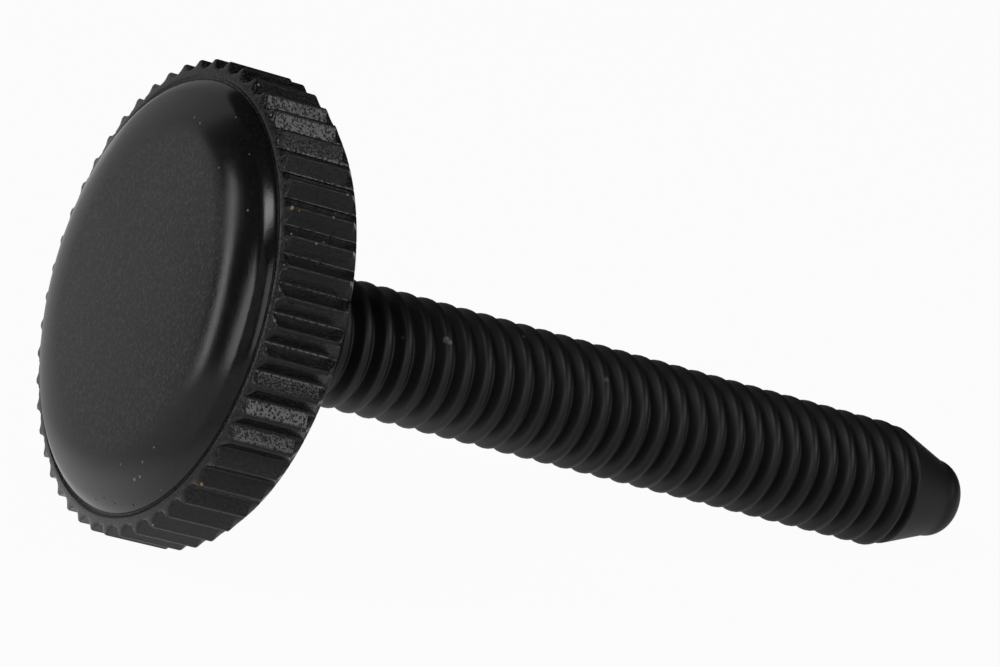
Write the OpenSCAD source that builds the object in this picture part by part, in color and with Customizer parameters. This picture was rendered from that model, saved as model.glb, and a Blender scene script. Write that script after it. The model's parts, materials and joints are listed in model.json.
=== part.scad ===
// Knurled thumb screw, turned from one bar and painted black.
// It lies as it comes to rest on a flat surface: on two teeth of the rim and the
// last full thread, with the head towards -X and the point towards +X.
// Millimetres, +Z up, origin at the middle of the bounding box's bottom face.

/* [Thread] */
// Outside diameter of the thread
thread_d = 7.8; // [6:0.1:10]
// Distance from one thread to the next
thread_pitch = 1.411; // [1.2:0.001:2]
// Depth of the thread from crest to root
thread_depth = 0.75; // [0.4:0.01:0.8]
// Width of the flat along each crest
crest_w = 0.25; // [0.1:0.01:0.4]
// Angle between the two flanks of a thread
thread_angle = 60; // [50:1:70]
// Length from the head's underside to the end of the nose
shank_l = 52.8; // [35:0.1:80]
// Diameter of the plain neck under the head
neck_d = 7.9; // [7.8:0.1:10]
// Length of the plain neck, where the thread stops short of the head
neck_l = 1.6; // [0.8:0.1:5]

/* [Point] */
// Length of the cone between the last thread and the nose
cone_l = 3.9; // [2:0.1:6]
// Diameter of the nose where the cone ends
nose_d = 4.9; // [3.5:0.1:5.5]
// Radius of the rounding at the nose's end
nose_r = 1.6; // [0.5:0.1:1.7]

/* [Head] */
// Diameter over the lands of the knurl
head_d = 28.1; // [27:0.1:36]
// Thickness of the knurled rim
rim_l = 4.88; // [3:0.02:8]
// Front chamfer of the rim, measured along the axis
front_chamfer_l = 0.24; // [0.1:0.02:1.2]
// Front chamfer of the rim, measured across it
front_chamfer_r = 0.85; // [0.3:0.05:1.2]
// Rear chamfer of the rim, at 45 degrees
rear_chamfer = 0.62; // [0.2:0.01:1]

/* [Knurl] */
// Number of grooves around the rim
knurl_n = 50; // [36:1:60]
// Depth of a groove below the lands
knurl_depth = 0.64; // [0.3:0.01:0.8]
// Width of the land between two grooves
knurl_land = 0.34; // [0.2:0.01:0.6]

/* [Crown] */
// Diameter of the crown at its foot
crown_d = 25.54; // [20:0.02:25.8]
// Depth of the fine groove around the crown's foot
foot_groove = 0.14; // [0.05:0.01:0.4]
// Height of the straight wall at the crown's foot
crown_wall = 0.07; // [0.02:0.01:1]
// Radius of the crown's outer corner
corner_r = 1.96; // [1:0.02:3]
// Slope where the corner ends at the wall, in degrees
edge_slope = 55; // [45:1:90]
// Slope of the shoulder where it meets the corner, in degrees
shoulder_slope = 23; // [15:1:40]
// Radius of the shoulder between the corner and the face
shoulder_r = 10.1; // [4:0.1:12]
// Slope at the edge of the shallow domed face, in degrees
face_slope = 3.5; // [1:0.1:6]

/* [Hidden] */

paint = [0.07, 0.07, 0.075];
$fn = 96;

thread_r = thread_d / 2;
neck_r = neck_d / 2;
flank_slope = tan(thread_angle / 2);
root_w = thread_pitch - crest_w - 2 * thread_depth * flank_slope;
cone_z = shank_l - nose_r - cone_l;

head_r = head_d / 2;
groove_r = head_r - knurl_depth;
tooth_angle = 360 / knurl_n;
land_edge_angle = tooth_angle / 2 - asin(knurl_land / 2 / head_r);

// Points on an arc about c, from slope a0 to slope a1, where slope 0 faces out of the crown
function slope_arc(c, r, a0, a1, n) =
    [for (i = [0:n]) let (a = a0 + (a1 - a0) * i / n) [c[0] + r * sin(a), c[1] - r * cos(a)]];

// Crown: domed face, shoulder and corner, each tangent to the next, as [radius, height] points
corner_c = [crown_d / 2, -rim_l - crown_wall] - corner_r * [sin(edge_slope), -cos(edge_slope)];
shoulder_c = corner_c - (shoulder_r - corner_r) * [sin(shoulder_slope), -cos(shoulder_slope)];
face_edge = shoulder_c + shoulder_r * [sin(face_slope), -cos(face_slope)];
face_r = face_edge[0] / sin(face_slope);
face_c = [0, face_edge[1] + face_r * cos(face_slope)];
crown_line = concat(
    slope_arc(face_c, face_r, 0, face_slope * 0.99, 5),
    slope_arc(shoulder_c, shoulder_r, face_slope, shoulder_slope * 0.99, 10),
    slope_arc(corner_c, corner_r, shoulder_slope, edge_slope, 6));

// Plain shank before the thread is cut: neck, cylinder, cone and rounded nose
nose_c = [nose_d / 2 - nose_r, shank_l - nose_r];
nose_line = [for (i = [0:6]) nose_c + nose_r * [cos(15 * i), sin(15 * i)]];
shank_line = concat(
    [[0, -rim_l / 2], [neck_r, -rim_l / 2], [neck_r, neck_l]],
    [[thread_r, neck_l + thread_pitch / 4], [thread_r, cone_z]],
    nose_line,
    [[0, shank_l]]);

// Thread: a right-hand helical groove, from the neck to its run-out on the cone.
// The crest that faces straight down ends where the cone begins.
groove_steps = 16;
groove_over = 0.3 * crest_w / flank_slope;
groove_z = cone_z + (thread_pitch - crest_w) / 2;
groove_half = root_w / 2 + (thread_depth + groove_over) * flank_slope;
groove_from = -floor((groove_z - groove_half - neck_l) / thread_pitch * groove_steps);
runout_steps = 6;
fade_steps = 8;
function groove_section(i) =
    let (
        a = 360 * i / groove_steps,
        z = groove_z + thread_pitch * i / groove_steps,
        deep = thread_depth * min(1, (i - groove_from + 1) / fade_steps, (runout_steps + 1 - i) / fade_steps))
    [for (p = [[thread_r - deep, -root_w / 2], [thread_r - deep, root_w / 2],
               [thread_r + groove_over, groove_half], [thread_r + groove_over, -groove_half]])
        [p[0] * cos(a), p[0] * sin(a), z + p[1]]];
groove_points = [for (i = [groove_from:runout_steps]) each groove_section(i)];
groove_last = 4 * (runout_steps - groove_from);
groove_faces = concat(
    [[0, 1, 2, 3], [for (j = [3:-1:0]) groove_last + j]],
    [for (i = [0:4:groove_last - 4]) for (j = [0:3])
        let (k = (j + 1) % 4) each [[i + j, i + 4 + j, i + k], [i + k, i + 4 + j, i + 4 + k]]]);

// Rest: the tilt at which the rim's rear edge and the last crest touch the same plane
rest_r = head_r * cos(land_edge_angle);
tilt = atan((rest_r - thread_r) / (cone_z + rear_chamfer));
axis_z = cone_z * sin(tilt) + thread_r * cos(tilt);
x_low = min([for (p = crown_line) p[1] * cos(tilt) - p[0] * sin(tilt)]);
x_high = max([for (p = nose_line) p[1] * cos(tilt) + p[0] * sin(tilt)]);

// Outline of the knurl: grooves whose straight flanks meet above each land
function polar(r, a) = [r * cos(a), r * sin(a)];
land_edge = polar(head_r, land_edge_angle);
flank_run = groove_r * sin(tooth_angle / 2)
    / (land_edge[1] * cos(tooth_angle / 2) - (land_edge[0] - groove_r) * sin(tooth_angle / 2));
apex_r = (groove_r + flank_run * (land_edge[0] - groove_r)) / cos(tooth_angle / 2);
knurl_outline = [for (k = [0:knurl_n - 1])
    each [polar(groove_r, k * tooth_angle), polar(apex_r, (k + 0.5) * tooth_angle)]];

module rim() {
    intersection() {
        rotate_extrude()
            polygon([
                [0, -rim_l + foot_groove], [crown_d / 2, -rim_l + foot_groove],
                [head_r - front_chamfer_r, -rim_l], [head_r, -rim_l + front_chamfer_l],
                [head_r, -rear_chamfer], [head_r - rear_chamfer, 0], [0, 0]]);
        translate([0, 0, -rim_l - 1])
            linear_extrude(rim_l + 2)
                polygon(knurl_outline);
    }
}

module crown() {
    rotate_extrude()
        polygon(concat(crown_line, [[crown_d / 2, -rim_l / 2], [0, -rim_l / 2]]));
}

module shank() {
    difference() {
        rotate_extrude()
            polygon(shank_line);
        polyhedron(groove_points, groove_faces, convexity = 40);
    }
}

module thumb_screw() {
    color(paint)
        translate([-(x_low + x_high) / 2, 0, axis_z])
            rotate([0, 90 + tilt, 0]) {
                rim();
                crown();
                shank();
            }
}

thumb_screw();
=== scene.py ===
"""Looks of a black knurled thumb screw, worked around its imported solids.

The real screw is one turned piece under satin black paint, so its looks are one closed skin:
crown, knurled rim, threaded shank and rounded point. Sizes are in millimetres along and around
the screw's own axis, and the skin is laid into the row's frame, in metres, by the record's mounts.
"""

import json
import logging
import math
from dataclasses import dataclass, field
from enum import Enum
from typing import Any, Sequence

import bpy
import numpy as np
from mathutils import Matrix, Quaternion, Vector


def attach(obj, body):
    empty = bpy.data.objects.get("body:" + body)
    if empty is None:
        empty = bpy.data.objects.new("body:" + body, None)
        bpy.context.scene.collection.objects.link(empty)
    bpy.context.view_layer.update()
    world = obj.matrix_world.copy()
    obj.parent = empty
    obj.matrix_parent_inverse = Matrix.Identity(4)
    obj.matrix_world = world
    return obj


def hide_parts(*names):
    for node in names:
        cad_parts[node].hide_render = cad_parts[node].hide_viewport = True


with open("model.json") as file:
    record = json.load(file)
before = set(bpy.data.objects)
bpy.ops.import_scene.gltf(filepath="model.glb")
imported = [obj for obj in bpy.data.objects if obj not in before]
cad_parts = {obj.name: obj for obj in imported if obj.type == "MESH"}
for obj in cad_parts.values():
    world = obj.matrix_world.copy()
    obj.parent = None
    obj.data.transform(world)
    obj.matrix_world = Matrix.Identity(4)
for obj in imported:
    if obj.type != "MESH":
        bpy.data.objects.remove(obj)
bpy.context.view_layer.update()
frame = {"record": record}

LOG = logging.getLogger("thumb_screw")
MM = 0.001
IMAGE_WIDTH = 1000
SENSOR_WIDTH = 36.0


def smooth_min(a: np.ndarray, b: np.ndarray, reach: float) -> np.ndarray:
    """Lesser of two surfaces with the corner between them eased.

    Where they differ by less than the reach, the result dips below the lesser one by
    (reach - difference) squared over four times the reach, which is a smooth parabola.

    Args:
        a: First surface.
        b: Second surface.
        reach: Difference within which the corner is eased.

    Returns:
        The eased lesser surface.
    """
    overlap = np.maximum(reach - np.abs(a - b), 0.0)
    return np.minimum(a, b) - overlap ** 2 / (4.0 * reach)


def slope_arc(centre: np.ndarray, radius: float, first: float, last: float, steps: int) -> np.ndarray:
    """Points on a circle by the slope of its tangent: centre + radius * (sin slope, -cos slope).

    Args:
        centre: Radius and height of the circle's centre.
        radius: Radius of the circle.
        first: Slope at the first point, in degrees; 0 faces straight out of the crown.
        last: Slope at the last point, in degrees.
        steps: Number of steps between them.

    Returns:
        Array of (radius, height) points.
    """
    slope = np.radians(np.linspace(first, last, steps + 1))
    return np.asarray(centre) + radius * np.stack([np.sin(slope), -np.cos(slope)], axis=1)


def slope_normal(slope: float) -> np.ndarray:
    """Outward direction of a profile as (radius, height), where slope 0 faces straight out of the crown."""
    return np.array([math.sin(math.radians(slope)), -math.cos(math.radians(slope))])


def eased_line(corners: np.ndarray, cuts: np.ndarray, steps: int) -> np.ndarray:
    """Polyline whose inner corners are parabolas.

    Each inner corner B is cut back by its cut towards both neighbours, and the gap is filled by
    (1 - s)^2 * start + 2 s (1 - s) * B + s^2 * end, with s from 0 to 1.

    Args:
        corners: Corner points, one row each.
        cuts: Cut of each inner corner.
        steps: Steps along each parabola.

    Returns:
        Points of the eased line, with its two ends kept.
    """
    before, corner, after = corners[:-2], corners[1:-1], corners[2:]
    cut = np.asarray(cuts)[:, None]
    start = corner + cut * (before - corner) / np.linalg.norm(before - corner, axis=1, keepdims=True)
    end = corner + cut * (after - corner) / np.linalg.norm(after - corner, axis=1, keepdims=True)
    s = np.linspace(0.0, 1.0, steps + 1)[None, :, None]
    curve = (1 - s) ** 2 * start[:, None] + 2 * s * (1 - s) * corner[:, None] + s ** 2 * end[:, None]
    return np.concatenate([corners[:1], curve.reshape(-1, 2), corners[-1:]])


def divided_line(points: np.ndarray, longest: float) -> np.ndarray:
    """Polyline with even points added, so that no step is longer than the given length.

    Args:
        points: Points of the line.
        longest: Greatest step allowed.

    Returns:
        The same line with more points.
    """
    step = np.linalg.norm(np.diff(points, axis=0), axis=1)
    pieces = np.maximum(np.ceil(step / longest).astype(int), 1)
    at = np.concatenate([[0.0], np.cumsum(np.repeat(1.0 / pieces, pieces))])
    whole = np.arange(len(points))
    return np.stack([np.interp(at, whole, points[:, k]) for k in range(points.shape[1])], axis=1)


@dataclass(frozen=True)
class Placement:
    """Where the screw's own axes lie in the row: x straight down, y away, z from head to point."""

    origin: np.ndarray
    axes: np.ndarray

    @classmethod
    def from_record(cls, record: dict[str, Any], thread_middle: float) -> "Placement":
        """Read the axis from the record's thread mount.

        Args:
            record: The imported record.
            thread_middle: Distance from the head's underside to that mount, in millimetres.

        Returns:
            The placement whose origin is the middle of the head's underside.
        """
        mount = next(m for m in record["mounts"] if m["name"] == "thread")
        along = np.array(mount["axis"]) / np.linalg.norm(mount["axis"])
        away = np.array([0.0, 1.0, 0.0])
        axes = np.stack([np.cross(away, along), away, along])
        return cls(np.array(mount["pos_m"]) - thread_middle * MM * along, axes)

    def to_row(self, local: np.ndarray) -> np.ndarray:
        """Carry points from the screw's axes, in millimetres, into the row, in metres."""
        return self.origin + MM * np.asarray(local) @ self.axes

    def spot(self, along: float, angle: float, radius: float) -> Vector:
        """Row point at a distance along the axis, an angle from straight down and a radius."""
        turn = math.radians(angle)
        return Vector(self.to_row([radius * math.cos(turn), radius * math.sin(turn), along]))


@dataclass
class Skin:
    """Points and faces of one closed surface, gathered ring by ring from the crown to the point."""

    points: list[np.ndarray] = field(default_factory=list)
    faces: list[np.ndarray] = field(default_factory=list)
    count: int = 0

    def add(self, points: np.ndarray) -> np.ndarray:
        """Store points and return their numbers in the same arrangement."""
        numbers = self.count + np.arange(points[..., 0].size).reshape(points.shape[:-1])
        self.points.append(points.reshape(-1, 3))
        self.count += numbers.size
        return numbers

    def grid(self, radius: np.ndarray, along: np.ndarray, angle: np.ndarray) -> np.ndarray:
        """Add rings turned about the axis: (radius cos angle, radius sin angle, along).

        Args:
            radius: Radius of each point, rings by columns.
            along: Height of each point, rings by columns or rings by one.
            angle: Angle of each column.

        Returns:
            The numbers of the points, rings by columns.
        """
        radius, along, angle = np.broadcast_arrays(radius, along, angle)
        numbers = self.add(np.stack([radius * np.cos(angle), radius * np.sin(angle), along], axis=-1))
        near, far = numbers[:-1], numbers[1:]
        quads = np.stack([near, np.roll(near, -1, 1), np.roll(far, -1, 1), far], axis=-1)
        self.faces.append(quads.reshape(-1, 4))
        return numbers

    def bridge(self, near: np.ndarray, far: np.ndarray) -> None:
        """Join two rings: one side of the coarser ring meets a run of sides of the finer one."""
        sides = min(len(near), len(far))
        near_run, far_run = len(near) // sides, len(far) // sides
        side = np.arange(sides)[:, None]
        ahead = near[(side * near_run + np.arange(near_run + 1)) % len(near)]
        back = far[(side * far_run + np.arange(far_run, -1, -1)) % len(far)]
        self.faces.append(np.concatenate([ahead, back], axis=1))

    def close(self, ring: np.ndarray, pole: Sequence[float], ring_first: bool) -> None:
        """Close a ring with triangles to one pole.

        Args:
            ring: Numbers of the ring's points.
            pole: Place of the pole.
            ring_first: Whether the ring comes before the pole on the way from crown to point.
        """
        tip = np.full(len(ring), self.add(np.array([pole], dtype=float))[0])
        following = np.roll(ring, -1)
        order = [ring, following, tip] if ring_first else [tip, following, ring]
        self.faces.append(np.stack(order, axis=1))

    def to_mesh(self, name: str, placement: Placement) -> bpy.types.Mesh:
        """Lay the gathered surface into the row as a smooth mesh.

        Args:
            name: Name of the mesh.
            placement: Where the screw lies.

        Returns:
            The new mesh.
        """
        mesh = bpy.data.meshes.new(name)
        corners = [face for block in self.faces for face in block.tolist()]
        mesh.from_pydata(placement.to_row(np.concatenate(self.points)), [], corners)
        mesh.polygons.foreach_set("use_smooth", np.ones(len(mesh.polygons), dtype=bool))
        mesh.update()
        mesh.validate()
        return mesh


@dataclass(frozen=True)
class Knurl:
    """Straight V grooves around the rim, with a groove straight down."""

    count: int = 50
    depth: float = 0.71
    land: float = 0.14
    valley_round: float = 0.07
    land_round: float = 0.02
    columns: tuple[float, ...] = (0.0, 0.05, 0.11, 0.2, 0.87, 0.9, 0.935,
                                  1.0, 1.065, 1.1, 1.13, 1.8, 1.89, 1.95)

    def angles(self) -> np.ndarray:
        """Angles of the rim's columns: the same uneven set in each tooth, closest at its corners."""
        tooth = np.arange(self.count)[:, None] + 0.5 * np.array(self.columns)[None, :]
        return (2.0 * np.pi / self.count * tooth).ravel()

    def groove(self, angle: np.ndarray, head_r: float) -> np.ndarray:
        """Radius of the grooves' straight flanks at each angle.

        A flank is the straight line from the valley to the land's edge, carried on past it. In
        polar form a line through (v, 0) with direction (a, b) is v * b / (b cos angle - a sin angle).
        The valley is rounded by taking the angle from it as the root of angle^2 + rounding^2.

        Args:
            angle: Angle of each column.
            head_r: Radius over the lands.

        Returns:
            Radius of the flank at each angle.
        """
        valley_r = head_r - self.depth
        half = np.pi / self.count
        edge = half - math.asin(self.land / 2.0 / head_r)
        run_x, run_y = head_r * math.cos(edge) - valley_r, head_r * math.sin(edge)
        off = np.abs((angle + half) % (2.0 * half) - half)
        off = np.sqrt(off ** 2 + (self.valley_round / head_r) ** 2)
        return valley_r * run_y / (run_y * np.cos(off) - run_x * np.sin(off))


@dataclass(frozen=True)
class Head:
    """Knurled rim with its chamfers, and the low domed crown in front of it.

    Lengths are in millimetres and slopes in degrees. Each wave of the edge's wander is its share,
    its number of turns around the head and its phase. The arc steps are those of the face, the
    shoulder, the corner and the lip.
    """

    radius: float = 14.05
    rim_length: float = 4.88
    front_chamfer_along: float = 0.24
    front_chamfer_across: float = 0.85
    rear_chamfer: float = 0.62
    crown_radius: float = 12.77
    crown_wall: float = 0.07
    corner_radius: float = 1.96
    edge_slope: float = 55.0
    shoulder_slope: float = 23.0
    shoulder_radius: float = 10.1
    face_slope: float = 3.5
    lip_round: float = 0.12
    foot_groove: float = 0.07
    foot_round: float = 0.03
    foot_middle: float = 0.06
    foot_flat: float = 0.06
    wall_lean: float = 0.01
    underside_break: float = 5.4
    underside_step: float = 0.2
    underside_inset: float = 0.15
    underside_rings: int = 4
    edge_wander: float = 0.018
    wander_reach: float = 0.25
    wander_zone: float = 2.0
    wander_waves: tuple[tuple[float, int, float], ...] = ((1.0, 7, 1.0), (0.7, 17, 2.2), (0.5, 41, 0.0))
    rim_lip_inset: float = 0.05
    rim_lip_wide: float = 0.17
    rim_lip_slope: float = 10.5
    corner_cuts: tuple[float, ...] = (0.03, 0.03, 0.12, 0.06, 0.05)
    corner_steps: int = 5
    longest_step: float = 0.09
    barrel_margin: float = 1.0
    barrel_thinning: int = 8
    arc_steps: tuple[int, ...] = (16, 26, 14, 5)
    foot_steps: int = 4
    pole_rise: float = 0.001
    knurl: Knurl = field(default_factory=Knurl)

    def crown_line(self) -> np.ndarray:
        """Profile of the crown, from its face's middle down to the ledge at its foot.

        A shallow arc, a shoulder arc, a corner arc and a fine lip, each tangent to the next, then a
        short wall down into a fine groove at the crown's foot.

        Returns:
            Points of (radius, height), without the pole.
        """
        lip = np.array([self.crown_radius, -self.rim_length - self.crown_wall])
        corner = lip - self.corner_radius * slope_normal(self.edge_slope)
        back = self.shoulder_radius - self.corner_radius
        shoulder = corner - back * slope_normal(self.shoulder_slope)
        edge = shoulder + self.shoulder_radius * slope_normal(self.face_slope)
        face_radius = edge[0] / math.sin(math.radians(self.face_slope))
        face = edge - face_radius * slope_normal(self.face_slope)
        roll = lip - self.lip_round * slope_normal(self.edge_slope)
        bottom = self.foot_groove - self.rim_length
        wall = roll[0] + self.lip_round
        foot = eased_line(
            np.array([[wall, roll[1]], [wall + self.wall_lean, bottom], [wall + self.foot_middle, bottom]]),
            np.array([self.foot_round]), self.foot_steps)
        on_face, on_shoulder, on_corner, on_lip = self.arc_steps
        return np.concatenate([
            slope_arc(face, face_radius, 0.0, self.face_slope, on_face)[1:-1],
            slope_arc(shoulder, self.shoulder_radius, self.face_slope, self.shoulder_slope, on_shoulder)[:-1],
            slope_arc(corner, self.corner_radius, self.shoulder_slope, self.edge_slope, on_corner)[:-1],
            slope_arc(roll, self.lip_round, self.edge_slope, 90.0, on_lip)[:-1],
            foot])

    def rim_line(self) -> np.ndarray:
        """Profile of the rim over its lands, from the foot groove round to the underside.

        The groove's outer side climbs to a fine lip, the teeth's fronts fall away from it a little
        more steeply, and the lands run straight back to the rear chamfer.

        Returns:
            Points of (radius, height), with each corner softened by paint.
        """
        ledge = -self.rim_length
        ridge = self.radius - self.front_chamfer_across
        fall = math.tan(math.radians(self.rim_lip_slope)) * self.rim_lip_wide / 2.0
        corners = np.array([
            [self.crown_radius + self.foot_middle + self.foot_flat, ledge + self.foot_groove],
            [ridge - self.rim_lip_inset - self.rim_lip_wide / 2.0, ledge - fall],
            [ridge - self.rim_lip_inset + self.rim_lip_wide / 2.0, ledge + fall],
            [self.radius, ledge + self.front_chamfer_along],
            [self.radius, -self.rear_chamfer],
            [self.radius - self.rear_chamfer, 0.0],
            [self.underside_break, 0.0]])
        eased = eased_line(corners, np.array(self.corner_cuts), self.corner_steps)
        close = divided_line(eased[:-1], self.longest_step)
        barrel = (close[:, 1] > ledge + self.barrel_margin) & (close[:, 1] < -self.barrel_margin)
        keep = ~barrel | (np.arange(len(close)) % self.barrel_thinning == 0)
        under = np.linspace(close[-1, 0] - self.underside_inset, self.underside_break, self.underside_rings)
        return np.concatenate([close[keep], np.stack([under, np.zeros_like(under)], axis=1)])

    def wander(self, angle: np.ndarray) -> np.ndarray:
        """Slow waver of the ledge's edge around the head: sines, weighed by their shares of the whole."""
        waves = sum(share * np.sin(turns * angle + phase) for share, turns, phase in self.wander_waves)
        return self.edge_wander * waves / sum(share for share, _, _ in self.wander_waves)

    def build(self, skin: Skin) -> np.ndarray:
        """Add the head to the skin.

        Args:
            skin: Skin to add to.

        Returns:
            The numbers of the last, coarse ring on the underside.
        """
        fine = self.knurl.angles()
        coarse = fine[::len(self.knurl.columns) // 2]
        crown = self.crown_line()
        front = skin.grid(crown[:, :1], crown[:, 1:], coarse[None, :])
        top = -self.rim_length - self.crown_wall
        skin.close(front[0], (0.0, 0.0, float(crown[0, 1]) - self.pole_rise), ring_first=False)
        rim = self.rim_line()
        from_edge = rim[:, :1] - self.radius + self.front_chamfer_across
        near_edge = np.exp(-(from_edge / self.wander_reach) ** 2) * (rim[:, 1:] < top + self.wander_zone)
        over_lands = rim[:, :1] + near_edge * self.wander(fine)[None, :]
        flank = self.knurl.groove(fine, self.radius)[None, :]
        radius = smooth_min(over_lands, flank, self.knurl.land_round)
        side = skin.grid(radius, rim[:, 1:], fine[None, :])
        skin.bridge(front[-1], side[0])
        inner = np.array([[self.underside_break - self.underside_step]])
        back = skin.grid(inner, np.zeros((1, 1)), coarse[None, :])
        skin.bridge(side[-1], back[0])
        return back[-1]


@dataclass(frozen=True)
class Shank:
    """Plain neck, right-hand thread, cone and rounded nose.

    Lengths are in millimetres. The neck's first rings flare into the head's underside, the thread
    is followed past the cone's start by a share of a pitch, and it runs out after a share of a turn.
    """

    thread_radius: float = 3.9
    pitch: float = 1.411
    depth: float = 0.75
    crest: float = 0.25
    flank_slope: float = math.tan(math.radians(30.0))
    neck_radius: float = 3.95
    neck_length: float = 1.6
    length: float = 52.8
    cone_length: float = 3.9
    nose_radius: float = 2.45
    nose_round: float = 1.6
    crest_round: float = 0.36
    root_round: float = 0.06
    blank_round: float = 0.06
    blank_cuts: tuple[float, ...] = (0.1, 0.1, 0.3)
    blank_steps: int = 4
    nose_end: float = 176.0
    nose_steps: int = 12
    rings_per_pitch: int = 25
    neck_rings: tuple[float, ...] = (0.0, 0.06, 0.3, 0.8)
    neck_flare: tuple[float, ...] = (0.14, 0.03)
    thread_lead: float = 0.3
    thread_over: float = 0.9
    cone_rings: int = 7
    run_out_turn: float = 0.44
    fades_per_turn: float = 2.0
    hair: float = 0.01

    @property
    def cone_start(self) -> float:
        """Distance from the head's underside to the cone."""
        return self.length - self.nose_round - self.cone_length

    @property
    def thread_middle(self) -> float:
        """Distance from the head's underside to the middle of the thread."""
        return (self.neck_length + self.cone_start) / 2.0

    def plain_line(self) -> np.ndarray:
        """Profile of the blank before its thread is cut, as (radius, height): neck, barrel, cone, nose."""
        nose = np.array([self.nose_radius - self.nose_round, self.length - self.nose_round])
        corners = np.array([
            [self.neck_radius, 0.0], [self.neck_radius, self.neck_length],
            [self.thread_radius, self.neck_length + self.pitch / 4.0],
            [self.thread_radius, self.cone_start], nose + [self.nose_round, 0.0]])
        blank = eased_line(corners, np.array(self.blank_cuts), self.blank_steps)
        cap = slope_arc(nose, self.nose_round, 90.0, self.nose_end, self.nose_steps)
        return np.concatenate([blank[:-1], cap])

    def groove_depth(self, along: np.ndarray, angle: np.ndarray) -> np.ndarray:
        """Depth of the thread's groove below its crest.

        The groove's middle climbs one pitch a turn. With c the distance from the crest's middle and
        R the crest's rounding, the depth is R - root of (R^2 - c^2) until the arc reaches the
        flank's angle, then a straight flank, with the root eased. It fades in from the neck and
        out on the cone.

        Args:
            along: Height of each point.
            angle: Angle of each point, from 0 to a full turn.

        Returns:
            Depth at each point, 0 on the crests.
        """
        middle = self.cone_start + (self.pitch - self.crest) / 2.0
        turns = angle / (2.0 * np.pi)
        whole = np.round((along - middle) / self.pitch - turns)
        out = self.pitch / 2.0 - np.abs(along - middle - self.pitch * (whole + turns))
        lean = math.atan(self.flank_slope)
        reach = self.crest_round * math.cos(lean)
        arc = self.crest_round - np.sqrt(self.crest_round ** 2 - np.minimum(out, reach) ** 2)
        flank = arc + np.maximum(out - reach, 0.0) / self.flank_slope
        section = smooth_min(flank, np.full_like(flank, self.depth), self.root_round)
        from_neck = middle + self.pitch * (whole + turns) - self.neck_length - self.pitch / 2.0
        run_in = from_neck / self.pitch * self.fades_per_turn
        run_out = (self.run_out_turn - whole - turns) * self.fades_per_turn
        return section * np.clip(np.minimum(run_in, run_out), 0.0, 1.0)

    def build(self, skin: Skin, angle: np.ndarray, start: np.ndarray) -> None:
        """Add the shank to the skin, from the head's underside to the nose.

        Args:
            skin: Skin to add to.
            angle: Angles of the shank's columns.
            start: Numbers of the ring on the underside that the shank grows from.
        """
        line = self.plain_line()
        step = self.pitch / self.rings_per_pitch
        thread_end = self.cone_start + self.pitch * self.thread_over
        nose = line[line[:, 1] > self.length - self.nose_round - self.hair]
        height = np.concatenate([
            self.neck_rings, np.arange(self.neck_length - self.thread_lead, thread_end, step),
            np.linspace(thread_end, nose[0, 1], self.cone_rings)[:-1]])
        blank = np.interp(height, line[:, 1], line[:, 0])
        blank[:len(self.neck_flare)] += self.neck_flare
        along, turn = np.meshgrid(height, angle, indexing="ij")
        cut = self.groove_depth(along, turn)
        plain = np.broadcast_to(blank[:, None], cut.shape)
        outer = np.maximum(plain, self.thread_radius)
        radius = np.where(cut > 0.0, smooth_min(plain, outer - cut, self.blank_round), plain)
        rings = skin.grid(radius, along, angle[None, :])
        skin.bridge(start, rings[0])
        cap = skin.grid(nose[:, :1], nose[:, 1:], angle[None, :])
        skin.bridge(rings[-1], cap[0])
        skin.close(cap[-1], (0.0, 0.0, self.length), ring_first=True)


class Socket:
    """Output of a shader node that Python expressions can work with."""

    def __init__(self, graph: "Graph", port: bpy.types.NodeSocket) -> None:
        """Wrap one output socket of a graph."""
        self.graph = graph
        self.port = port

    def math(self, operation: str, *values: Any) -> "Socket":
        """Add one Math node."""
        return self.graph.node("ShaderNodeMath", {"operation": operation}, dict(enumerate(values)))

    def __add__(self, other: Any) -> "Socket":
        """Sum."""
        return self.math("ADD", self, other)

    __radd__ = __add__

    def __mul__(self, other: Any) -> "Socket":
        """Product."""
        return self.math("MULTIPLY", self, other)

    __rmul__ = __mul__

    def __sub__(self, other: Any) -> "Socket":
        """Difference."""
        return self.math("SUBTRACT", self, other)

    def __rsub__(self, other: Any) -> "Socket":
        """Difference from a number."""
        return self.math("SUBTRACT", other, self)

    def most(self, other: Any) -> "Socket":
        """Greater of two values."""
        return self.math("MAXIMUM", self, other)

    def ramp(self, low: float, high: float, to_low: float = 0.0, to_high: float = 1.0) -> "Socket":
        """Smooth step from low to high, carried onto another range; low may be above high."""
        return self.graph.node(
            "ShaderNodeMapRange", {"interpolation_type": "SMOOTHSTEP", "clamp": True},
            {"Value": self, "From Min": low, "From Max": high, "To Min": to_low, "To Max": to_high})


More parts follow.
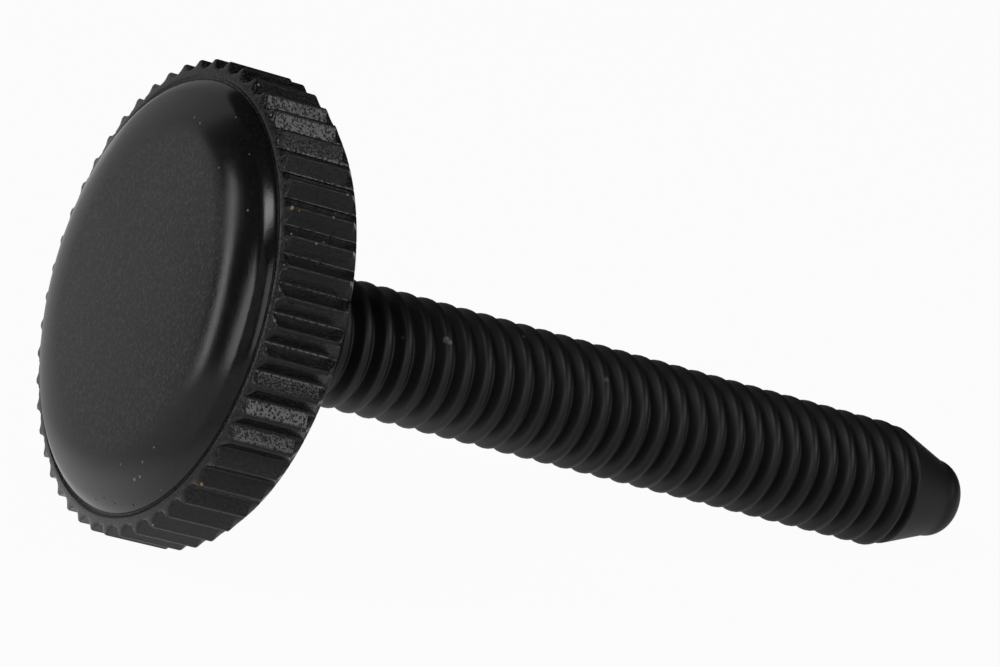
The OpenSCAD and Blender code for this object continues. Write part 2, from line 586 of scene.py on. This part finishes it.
class Graph:
    """Node tree of one material or world, filled by calls."""

    def __init__(self, tree: bpy.types.NodeTree) -> None:
        """Start from an empty tree."""
        self.tree = tree
        tree.nodes.clear()

    def node(self, kind: str, settings: dict[str, Any] | None = None,
             inputs: dict[Any, Any] | None = None, output: int | str = 0) -> Socket:
        """Add one node.

        Args:
            kind: Node type.
            settings: Properties to set first.
            inputs: Values or sockets by input name or number.
            output: Output to return.

        Returns:
            The chosen output, or the first input of a node that has none.
        """
        made = self.tree.nodes.new(kind)
        for key, value in (settings or {}).items():
            setattr(made, key, value)
        for key, value in (inputs or {}).items():
            if isinstance(value, Socket):
                self.tree.links.new(value.port, made.inputs[key])
            else:
                made.inputs[key].default_value = value
        return Socket(self, made.outputs[output] if made.outputs else made.inputs[0])

    def blend(self, factor: Any, first: Any, second: Any) -> Socket:
        """Mix two colours."""
        return self.node("ShaderNodeMix", {"data_type": "RGBA"}, {0: factor, 6: first, 7: second}, 2)

    def noise(self, where: Socket, grain: float, detail: float = 2.0, roughness: float = 0.5) -> Socket:
        """Noise whose features are about one grain across, in millimetres."""
        return self.node("ShaderNodeTexNoise", None, {
            "Vector": where, "Scale": 1.0 / (grain * MM), "Detail": detail, "Roughness": roughness})


def colour(grey: float, warm: float = 0.0) -> tuple[float, float, float, float]:
    """Near-grey colour with red and blue leaning by a share of the grey."""
    return (grey * (1.0 + warm), grey, grey * (1.0 - warm), 1.0)


class Mark(Enum):
    """Kinds of small marks on the paint."""

    CHIP = "bare brass"
    DUST = "pale fleck"
    PIT = "dark pit"
    SCUFF = "rubbed paint"
    NICK = "bruised paint"


@dataclass(frozen=True)
class Speck:
    """One small mark: its kind, place along, around and out from the axis, and breadth."""

    mark: Mark
    along: float
    angle: float
    radius: float
    breadth: float


@dataclass(frozen=True)
class BlackPaint:
    """Satin black paint over brass: smooth on the crown, grainy on the rim, dull on the shank.

    Lengths are in millimetres. A range or zone is where a smooth step over a noise or a distance
    starts and where it ends.
    """

    name: str = "black_paint"
    deep: tuple[float, float, float, float] = colour(0.002, -0.02)
    hazy: tuple[float, float, float, float] = colour(0.011, -0.03)
    # Lighter mottled tone painted on the crown's face only.
    face_mottle: tuple[float, float, float, float] = colour(0.045, -0.03)
    fleck: tuple[float, float, float, float] = colour(0.35, -0.03)
    brass: tuple[float, float, float, float] = (0.42, 0.27, 0.11, 1.0)
    rubbed: tuple[float, float, float, float] = colour(0.06, 0.22)
    bruise: tuple[float, float, float, float] = colour(0.16)
    crown_rough: float = 0.15
    rim_rough: float = 0.2
    shank_rough: float = 0.47
    tip_rough: float = 0.42
    grain: float = 0.13
    crown_grain: float = 0.004
    rim_grain: float = 0.012
    shank_grain: float = 0.004
    face_grain: float = 0.012
    pit_spread: float = 0.16
    pit_depth: float = 0.022
    pit_range: tuple[float, float] = (0.48, 0.34)
    mottle: float = 0.22
    mottle_range: tuple[float, float] = (0.3, 0.7)
    face_mottle_range: tuple[float, float] = (0.46, 0.66)
    bruise_range: tuple[float, float] = (0.3, 0.55)
    shank_plain: float = 0.8
    cloud: float = 5.0
    cloud_range: tuple[float, float] = (0.3, 0.7)
    cloud_rough: tuple[float, float] = (-0.02, 0.03)
    crown_foot: float = -4.9
    zone_ease: float = 0.05
    face_zone: tuple[float, float] = (-6.2, -6.45)
    tip_zone: tuple[float, float] = (13.92, 13.99)
    ragged: float = 0.06
    ragged_scale: float = 9000.0
    speck_edge: tuple[float, float] = (1.15, 0.6)
    speck_rough: float = 0.5
    dust_high: float = 0.03
    mark_deep: float = 0.06
    chip_deep: float = 0.02
    chip_metal: float = 0.7
    index: float = 1.5
    specks: tuple[Speck, ...] = (
        Speck(Mark.CHIP, -4.66, -126.0, 13.96, 0.24), Speck(Mark.CHIP, -4.18, -125.6, 14.03, 0.14),
        Speck(Mark.CHIP, -0.91, -133.2, 14.05, 0.14), Speck(Mark.CHIP, -4.62, -54.4, 14.01, 0.28),
        Speck(Mark.CHIP, -4.64, -33.0, 13.97, 0.20), Speck(Mark.CHIP, -0.86, -75.7, 14.05, 0.14),
        Speck(Mark.DUST, -6.11, -45.4, 10.51, 0.14), Speck(Mark.DUST, -6.17, -25.8, 10.27, 0.14),
        Speck(Mark.DUST, -6.04, -38.0, 10.76, 0.16), Speck(Mark.DUST, -5.84, -31.9, 11.38, 0.22),
        Speck(Mark.DUST, -5.84, -34.8, 11.39, 0.20), Speck(Mark.DUST, -5.18, -40.5, 12.58, 0.14),
        Speck(Mark.DUST, -6.12, 179.2, 10.49, 0.13), Speck(Mark.DUST, -6.15, -175.9, 10.35, 0.13),
        Speck(Mark.DUST, -6.27, -151.1, 9.80, 0.13), Speck(Mark.DUST, -5.87, -129.1, 11.30, 0.14),
        Speck(Mark.DUST, -5.59, -162.8, 12.01, 0.11), Speck(Mark.DUST, -5.65, -146.9, 11.89, 0.11),
        Speck(Mark.DUST, -4.48, -168.0, 13.86, 0.17), Speck(Mark.DUST, -4.75, -154.8, 13.66, 0.15),
        Speck(Mark.DUST, -4.24, -59.7, 13.80, 0.15), Speck(Mark.DUST, -3.01, -109.5, 13.70, 0.14),
        Speck(Mark.DUST, -4.62, -119.6, 13.94, 0.14), Speck(Mark.DUST, -3.01, -118.6, 14.05, 0.17),
        Speck(Mark.DUST, -2.51, -119.5, 13.97, 0.17), Speck(Mark.DUST, -4.75, -112.2, 13.64, 0.13),
        Speck(Mark.DUST, -4.41, -115.1, 13.47, 0.13), Speck(Mark.DUST, -1.93, -126.2, 14.05, 0.14),
        Speck(Mark.NICK, 12.56, -126.0, 3.82, 0.46), Speck(Mark.NICK, 12.34, -128.0, 3.80, 0.36),
        Speck(Mark.NICK, 12.80, -124.0, 3.80, 0.36), Speck(Mark.PIT, -6.49, -139.8, 7.32, 0.22),
        Speck(Mark.PIT, -5.51, -8.7, 12.16, 0.18), Speck(Mark.PIT, -5.61, -13.8, 11.97, 0.18),
        Speck(Mark.PIT, -5.46, -19.2, 12.24, 0.22), Speck(Mark.PIT, -5.19, -27.2, 12.57, 0.22),
        Speck(Mark.SCUFF, 24.04, -127.8, 3.88, 0.36), Speck(Mark.SCUFF, 9.66, -118.1, 3.62, 0.20),
        Speck(Mark.SCUFF, 18.35, -152.1, 3.88, 0.22),
    )

    def specks_of(self, graph: Graph, where: Socket, placement: Placement, mark: Mark) -> Socket:
        """Mask of all marks of one kind: 1 within a ragged half breadth of each, 0 outside.

        Args:
            graph: Graph to add to.
            where: Object coordinates, already ragged by noise.
            placement: Where the screw lies.
            mark: Kind of mark.

        Returns:
            The mask.
        """
        total: Any = 0.0
        for speck in (s for s in self.specks if s.mark is mark):
            spot = placement.spot(speck.along, speck.angle, speck.radius)
            gap = graph.node("ShaderNodeVectorMath", {"operation": "DISTANCE"}, {0: where, 1: spot}, "Value")
            outer, inner = (speck.breadth * MM / 2.0 * share for share in self.speck_edge)
            total = gap.ramp(outer, inner).most(total)
        return total

    def material(self, placement: Placement) -> bpy.types.Material:
        """Make the paint's material.

        Args:
            placement: Where the screw lies, for its zones and marks.

        Returns:
            The material.
        """
        made = bpy.data.materials.new(self.name)
        made.use_nodes = True
        graph = Graph(made.node_tree)
        where = graph.node("ShaderNodeTexCoord", None, None, "Object")
        from_head = graph.node("ShaderNodeVectorMath", {"operation": "SUBTRACT"}, {
            0: where, 1: Vector(placement.origin)})
        along = graph.node("ShaderNodeVectorMath", {"operation": "DOT_PRODUCT"}, {
            0: from_head, 1: Vector(placement.axes[2])}, "Value") * (1.0 / MM)
        rim = along.ramp(self.crown_foot - self.zone_ease, self.crown_foot + self.zone_ease)
        shank = along.ramp(-self.zone_ease, self.zone_ease)
        grain = graph.noise(where, self.grain, detail=3.0, roughness=0.55)
        mottle = graph.noise(where, self.mottle, detail=4.0, roughness=0.7)
        pitted = graph.noise(where, self.pit_spread, detail=3.0, roughness=0.6).ramp(*self.pit_range)
        pitted = pitted * rim * (1.0 - shank)
        face = along.ramp(*self.face_zone)
        cloud = graph.noise(where, self.cloud, detail=3.0)
        stray = graph.node("ShaderNodeTexNoise", None, {
            "Vector": where, "Scale": self.ragged_scale, "Detail": 2.0}, "Color")
        stray = graph.node("ShaderNodeVectorMath", {"operation": "SCALE"}, {
            0: stray, "Scale": self.ragged * MM})
        ragged = graph.node("ShaderNodeVectorMath", {"operation": "ADD"}, {0: where, 1: stray})
        chip, dust, pit, scuff, nick = (self.specks_of(graph, ragged, placement, mark) for mark in Mark)
        relief = self.crown_grain + rim * (self.rim_grain - self.crown_grain)
        relief = relief + face * (self.face_grain - self.crown_grain)
        relief = relief + shank * (self.shank_grain - self.rim_grain)
        marks = dust * self.dust_high - pit * self.mark_deep - chip * self.chip_deep
        bump = graph.node("ShaderNodeBump", None, {
            "Strength": 1.0, "Distance": MM, "Height": grain * relief - pitted * self.pit_depth + marks})
        haze = mottle.ramp(*self.mottle_range) * (1.0 - shank * self.shank_plain)
        tint = graph.blend(haze, self.deep, self.hazy)
        # Lighter mottled patches on the crown's face.
        tint = graph.blend(mottle.ramp(*self.face_mottle_range) * face, tint, self.face_mottle)
        tint = graph.blend(chip, tint, self.brass)
        tint = graph.blend(dust, tint, self.fleck)
        tint = graph.blend(scuff, tint, self.rubbed)
        tint = graph.blend(nick * mottle.ramp(*self.bruise_range), tint, self.bruise)
        rough = self.crown_rough + rim * (self.rim_rough - self.crown_rough)
        rough = rough + shank * (self.shank_rough - self.rim_rough)
        rough = rough + cloud.ramp(*self.cloud_range, *self.cloud_rough)
        out = graph.node("ShaderNodeVectorMath", {"operation": "CROSS_PRODUCT"}, {
            0: from_head, 1: Vector(placement.axes[2])})
        out = graph.node("ShaderNodeVectorMath", {"operation": "LENGTH"}, {0: out}, "Value") * (1.0 / MM)
        rough = rough.most(out.ramp(*self.tip_zone) * self.tip_rough)
        rough = rough.most((dust + pit) * self.speck_rough)
        shader = graph.node("ShaderNodeBsdfPrincipled", None, {
            "Base Color": tint, "Roughness": rough, "Metallic": chip * self.chip_metal, "Normal": bump,
            "IOR": self.index})
        graph.node("ShaderNodeOutputMaterial", None, {"Surface": shader})
        return made


@dataclass
class ThumbScrew:
    """The whole screw: one skin from the crown's middle to the nose, under one coat of paint."""

    head: Head = field(default_factory=Head)
    shank: Shank = field(default_factory=Shank)
    paint: BlackPaint = field(default_factory=BlackPaint)
    name: str = "painted_thumb_screw"

    def build(self, placement: Placement) -> bpy.types.Object:
        """Make the screw's skin, dress it and hand it to the frame.

        Args:
            placement: Where the screw lies.

        Returns:
            The new piece.
        """
        skin = Skin()
        under = self.head.build(skin)
        angles = self.head.knurl.angles()[::len(self.head.knurl.columns)]
        self.shank.build(skin, angles, under)
        mesh = skin.to_mesh(self.name, placement)
        mesh.materials.append(self.paint.material(placement))
        piece = bpy.data.objects.new(self.name, mesh)
        bpy.context.scene.collection.objects.link(piece)
        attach(piece, "root")
        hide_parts("thumb_screw")
        return piece


@dataclass(frozen=True)
class PhotoCamera:
    """Camera at the photograph's viewing angle."""

    aim: tuple[float, float, float] = (-2.789, 1.715, 12.408)
    distance: float = 357.640
    azimuth: float = -30.071
    elevation: float = 12.041
    roll: float = -8.221
    focal_pixels: float = 6000.0
    clip: tuple[float, float] = (0.01, 50.0)

    def build(self) -> bpy.types.Object:
        """Make the camera and give it to the scene.

        The camera stands behind the aim along the view, and its roll turns it about that line.

        Returns:
            The camera.
        """
        turn, rise = math.radians(self.azimuth), math.radians(self.elevation)
        forward = Vector((-math.sin(turn) * math.cos(rise), math.cos(turn) * math.cos(rise), -math.sin(rise)))
        level = forward.cross(Vector((0.0, 0.0, 1.0))).normalized()
        upright = level.cross(forward)
        lean = math.radians(self.roll)
        up = upright * math.cos(lean) + level * math.sin(lean)
        right = forward.cross(up)
        data = bpy.data.cameras.new("photo_camera")
        data.sensor_width = SENSOR_WIDTH
        data.lens = self.focal_pixels / IMAGE_WIDTH * SENSOR_WIDTH
        data.clip_start, data.clip_end = self.clip
        camera = bpy.data.objects.new("photo_camera", data)
        spin = Matrix((right, up, -forward)).transposed().to_4x4()
        place = (Vector(self.aim) - forward * self.distance) * MM
        camera.matrix_world = Matrix.Translation(place) @ spin
        bpy.context.scene.collection.objects.link(camera)
        bpy.context.scene.camera = camera
        return camera


@dataclass(frozen=True)
class Softbox:
    """Flat studio light that faces the head: where it hangs, its spread in degrees and its level."""

    name: str
    azimuth: float
    elevation: float
    across: float
    tall: float
    level: float
    lean: float = 0.0
    distance: float = 0.8

    def build(self, aim: Vector) -> bpy.types.Object:
        """Make the light.

        A side that spreads over an angle is 2 * distance * tan(angle / 2) long. A flat light whose
        face has the given level, where 1 looks white, gives pi * level * area watts.

        Args:
            aim: Point that the light faces.

        Returns:
            The light.
        """
        width, height = (2.0 * self.distance * math.tan(math.radians(side) / 2.0)
                         for side in (self.across, self.tall))
        turn, rise = math.radians(self.azimuth), math.radians(self.elevation)
        away = Vector((math.cos(turn) * math.cos(rise), math.sin(turn) * math.cos(rise), math.sin(rise)))
        data = bpy.data.lights.new(self.name, "AREA")
        data.shape = "RECTANGLE"
        data.size, data.size_y = width, height
        data.energy = math.pi * self.level * width * height
        light = bpy.data.objects.new(self.name, data)
        light.location = aim + away * self.distance
        lean = Quaternion((0.0, 0.0, 1.0), math.radians(self.lean))
        light.rotation_euler = (away.to_track_quat("Z", "Y") @ lean).to_euler()
        light.visible_camera = False
        bpy.context.scene.collection.objects.link(light)
        return light


@dataclass(frozen=True)
class Studio:
    """Pale floor, plain surroundings and soft lights around the head."""

    floor_size: float = 6.0
    floor_grey: float = 0.8
    floor_white: float = 0.96
    # Painted light that the floor shows only to reflections: its level towards the camera, behind on the
    # left, behind on the right, and the extra painted pool close to the head, fading over its reach.
    painted_light_front: float = 0.34
    painted_light_left: float = 0.42
    painted_light_right: float = 0.6
    floor_depth: tuple[float, float] = (-0.008, 0.006)
    floor_side: tuple[float, float] = (-0.02, 0.01)
    painted_light_near: float = 0.5
    painted_light_reach: tuple[float, float] = (0.003, 0.03)
    ambient: float = 0.03
    lights: tuple[Softbox, ...] = (
        Softbox("left_box", 168.5, 10.5, 14.0, 20.0, 2.2),
        Softbox("rear_left_strip", 139.5, 8.8, 4.0, 21.0, 3.5, 22.0),
        Softbox("upper_left_box", -172.0, 51.0, 11.0, 27.0, 5.5, -45.0),
        Softbox("left_fill", -165.0, 18.0, 30.0, 30.0, 0.2),
        Softbox("right_box", -43.5, 27.5, 20.0, 25.0, 3.0),
        Softbox("rear_panel", 89.0, 18.0, 60.0, 36.0, 0.31),
        Softbox("rear_left_panel", 123.0, 6.0, 10.0, 13.0, 0.45),
        Softbox("front_panel", -115.0, 20.0, 50.0, 38.0, 1.2),
        Softbox("low_front_panel", -72.0, 7.0, 34.0, 22.0, 0.45),
    )

    def floor(self, aim: Vector) -> bpy.types.Object:
        """Make the floor, whose colour is mostly plain white to the camera and keeps a soft shadow. To glossy
        reflections it shows painted light instead: a pool that is brightest close to the head and fades away
        from it, over a level that is lower towards the camera and higher behind, most on the right.

        Args:
            aim: Point above the middle of the painted pool of light.

        Returns:
            The floor.
        """
        half = self.floor_size / 2.0
        mesh = bpy.data.meshes.new("floor")
        corners = [(-half, -half, 0), (half, -half, 0), (half, half, 0), (-half, half, 0)]
        mesh.from_pydata(corners, [], [(0, 1, 2, 3)])
        made = bpy.data.materials.new("pale_floor")
        made.use_nodes = True
        graph = Graph(made.node_tree)
        seen = graph.node("ShaderNodeLightPath", None, None, "Is Camera Ray")
        mirrored = graph.node("ShaderNodeLightPath", None, None, "Is Glossy Ray")
        where = graph.node("ShaderNodeTexCoord", None, None, "Object")
        # Painted light on the floor for reflections, set by distance from the head and by side.
        away = graph.node("ShaderNodeVectorMath", {"operation": "DISTANCE"}, {
            0: where, 1: Vector((aim.x, aim.y, 0.0))}, "Value")
        side, behind = (graph.node("ShaderNodeSeparateXYZ", None, {"Vector": where}, axis) for axis in "XY")
        rear = side.ramp(*self.floor_side, self.painted_light_left, self.painted_light_right)
        # Painted reflection level of the floor: lower towards the camera, higher behind, plus a painted pool
        # close to the head.
        painted_floor_light = self.painted_light_front + behind.ramp(*self.floor_depth) * (rear - self.painted_light_front)
        painted_floor_light = painted_floor_light + away.ramp(*self.painted_light_reach, self.painted_light_near, 0.0)
        matt = graph.node("ShaderNodeBsdfDiffuse", None, {"Color": colour(self.floor_grey)})
        white = graph.node("ShaderNodeEmission", None, {
            "Color": graph.blend(mirrored * (1.0 - painted_floor_light), colour(1.0), colour(0.0)), "Strength": 1.0})
        both = graph.node("ShaderNodeMixShader", None, {
            0: seen * self.floor_white + mirrored, 1: matt, 2: white})
        graph.node("ShaderNodeOutputMaterial", None, {"Surface": both})
        mesh.materials.append(made)
        floor = bpy.data.objects.new("floor", mesh)
        bpy.context.scene.collection.objects.link(floor)
        return floor

    def world(self) -> bpy.types.World:
        """Make the surroundings: white to the camera, a plain grey to everything else."""
        made = bpy.data.worlds.new("studio")
        made.use_nodes = True
        graph = Graph(made.node_tree)
        seen = graph.node("ShaderNodeLightPath", None, None, "Is Camera Ray")
        sky = graph.node("ShaderNodeBackground", None, {
            "Color": colour(1.0), "Strength": seen * (1.0 - self.ambient) + self.ambient})
        graph.node("ShaderNodeOutputWorld", None, {"Surface": sky})
        bpy.context.scene.world = made
        return made

    def build(self, aim: Vector) -> None:
        """Make the floor, the surroundings and the lights, which face the given point."""
        self.world()
        self.floor(aim)
        for light in self.lights:
            light.build(aim)


def main() -> None:
    """Build the camera, the screw and the studio in order."""
    logging.basicConfig(level=logging.INFO, format="%(name)s: %(message)s")
    bpy.context.scene.view_settings.view_transform = "Standard"
    camera = PhotoCamera().build()
    LOG.info("camera %s", camera.name)
    screw = ThumbScrew()
    placement = Placement.from_record(frame["record"], screw.shank.thread_middle)
    piece = screw.build(placement)
    LOG.info("piece %s with %d faces", piece.name, len(piece.data.polygons))
    Studio().build(placement.spot(-screw.head.rim_length, 0.0, 0.0))
    LOG.info("studio ready")


if __name__ == "__main__":
    main()
